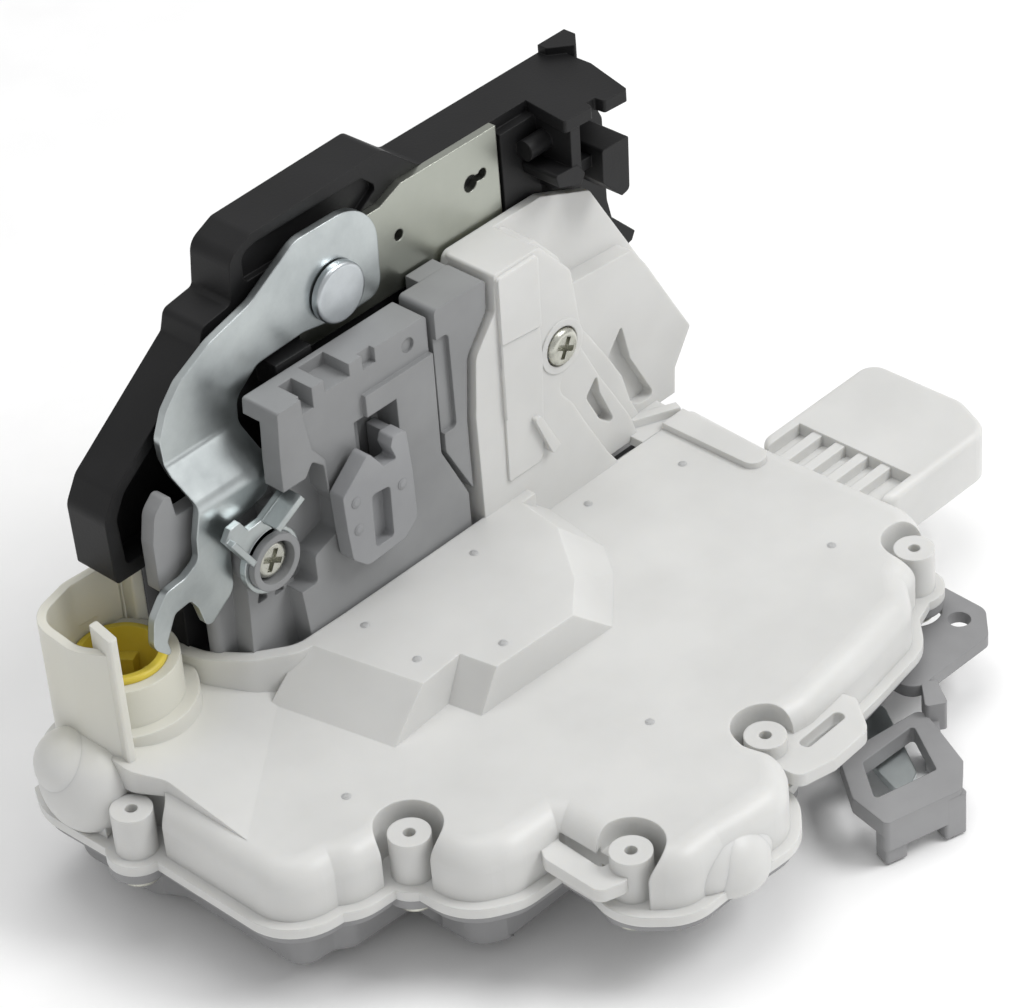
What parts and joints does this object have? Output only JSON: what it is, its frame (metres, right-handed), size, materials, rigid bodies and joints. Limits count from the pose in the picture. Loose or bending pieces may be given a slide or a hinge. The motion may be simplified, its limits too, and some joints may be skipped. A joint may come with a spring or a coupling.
{
  "type": "door latch actuator",
  "caption": "L-shaped vehicle door latch with a rotary claw, release levers and a motor-driven locking housing",
  "frame": {"origin": "centre of the latched striker in the striker slot, on the outer shut face", "axes": "+Y out of the shut face, +Z the outward side of the white cover (the striker leaves towards -Z), +X along the latch towards the connector end"},
  "size_m": [0.1694, 0.1117, 0.099],
  "materials": {
    "white_nylon": "satin natural-white moulding",
    "grey_nylon": "fine-grained grey moulding",
    "mid_grey_acetal": "satin grey moulding",
    "light_grey_acetal": "satin lighter grey moulding",
    "black_nylon": "glass-filled black moulding",
    "yellow_acetal": "slick yellow moulding",
    "white_acetal": "slick white moulding",
    "zinc_plate": "zinc-plated sheet",
    "zinc_lever": "zinc-plated pressed sheet",
    "hard_steel": "hardened steel",
    "zinc_rivet": "turned and plated steel",
    "zinc_screw": "plated steel screw",
    "spring_wire": "drawn spring wire",
    "motor_can": "drawn plated can",
    "tinned_brass": "tinned contact brass",
    "seal_rubber": "soft black rubber"
  },
  "bodies": {
    "actuator_frame": {"top_cover": "white_nylon", "base_housing": "grey_nylon", "housing_seal": "seal_rubber", "housing_screws": "zinc_screw", "latch_housing": "black_nylon", "shut_plate": "zinc_plate", "back_plate": "zinc_plate", "claw_rivet": "zinc_rivet", "lever_rivet": "zinc_rivet", "claw_spring": "spring_wire", "pawl_spring": "spring_wire", "striker_buffer": "seal_rubber", "mechanism_carrier": "mid_grey_acetal", "guide_block": "light_grey_acetal", "carrier_screw": "zinc_screw", "riser_screw": "zinc_screw", "lock_motor": "motor_can", "lock_wheel_axle": "zinc_rivet", "safe_motor": "motor_can", "safe_wheel_axle": "zinc_rivet", "latch_switch": "black_nylon", "lock_switch": "black_nylon", "contact_carrier": "black_nylon", "connector_pins": "tinned_brass", "cable_bracket": "grey_nylon", "inside_lever_pin": "zinc_rivet"},
    "claw_body": {"claw": "hard_steel"},
    "pawl_body": {"pawl": "hard_steel"},
    "outside_lever_body": {"outside_release_lever": "zinc_lever"},
    "release_link_body": {"release_link": "light_grey_acetal"},
    "lock_lever_body": {"lock_lever": "zinc_lever"},
    "lock_coupling_body": {"lock_coupling": "yellow_acetal"},
    "lock_wheel_body": {"lock_wheel": "white_acetal"},
    "lock_worm_body": {"lock_worm": "white_acetal"},
    "safe_wheel_body": {"safe_wheel": "white_acetal"},
    "safe_worm_body": {"safe_worm": "white_acetal"},
    "inside_lever_body": {"inside_release_lever": "zinc_lever"}
  },
  "joints": [
    {"name": "claw_turn", "type": "hinge", "parent": "actuator_frame", "child": "claw_body", "pos_m": [0.019, -0.0057, 0], "axis": [0, 1, 0], "range_deg": [0, 55], "stiffness_Nm_per_rad": 0.05, "springref_deg": -28.65},
    {"name": "pawl_turn", "type": "hinge", "parent": "actuator_frame", "child": "pawl_body", "pos_m": [-0.0197, -0.0057, 0.0167], "axis": [0, -1, 0], "range_deg": [0, 16], "stiffness_Nm_per_rad": 0.03, "springref_deg": -22.92},
    {"name": "outside_lever_turn", "type": "hinge", "parent": "actuator_frame", "child": "outside_lever_body", "pos_m": [-0.0197, -0.0137, 0.0167], "axis": [0, 1, 0], "range_deg": [0, 10], "stiffness_Nm_per_rad": 0.2, "springref_deg": -17.19},
    {"name": "release_link_slide", "type": "slide", "parent": "actuator_frame", "child": "release_link_body", "axis": [0, 0, 1], "range_m": [0, 0.004]},
    {"name": "lock_lever_turn", "type": "hinge", "parent": "actuator_frame", "child": "lock_lever_body", "pos_m": [-0.0455, -0.0216, -0.0166], "axis": [0, 1, 0], "range_deg": [-8, 8]},
    {"name": "lock_coupling_turn", "type": "hinge", "parent": "actuator_frame", "child": "lock_coupling_body", "pos_m": [-0.068, -0.0098, -0.035], "axis": [0, 0, 1], "range_deg": [-70, 70]},
    {"name": "lock_wheel_turn", "type": "hinge", "parent": "actuator_frame", "child": "lock_wheel_body", "pos_m": [-0.03, -0.0534, -0.053], "axis": [0, 0, 1], "range_deg": [0, 60]},
    {"name": "lock_worm_spin", "type": "hinge", "parent": "actuator_frame", "child": "lock_worm_body", "pos_m": [-0.03, -0.035, -0.053], "axis": [1, 0, 0], "range_deg": [0, 1800]},
    {"name": "safe_wheel_turn", "type": "hinge", "parent": "actuator_frame", "child": "safe_wheel_body", "pos_m": [0.024, -0.0504, -0.053], "axis": [0, 0, 1], "range_deg": [0, 60]},
    {"name": "safe_worm_spin", "type": "hinge", "parent": "actuator_frame", "child": "safe_worm_body", "pos_m": [0.024, -0.0638, -0.053], "axis": [-1, 0, 0], "range_deg": [0, 1200]},
    {"name": "inside_lever_turn", "type": "hinge", "parent": "actuator_frame", "child": "inside_lever_body", "pos_m": [0.022, -0.08, -0.0613], "axis": [0, 0, -1], "range_deg": [0, 15], "stiffness_Nm_per_rad": 0.02, "springref_deg": -11.46}
  ],
  "couplings": [
    {"joint": "lock_worm_spin", "follows": "lock_wheel_turn", "ratio": 30},
    {"joint": "safe_worm_spin", "follows": "safe_wheel_turn", "ratio": 20}
  ]
}
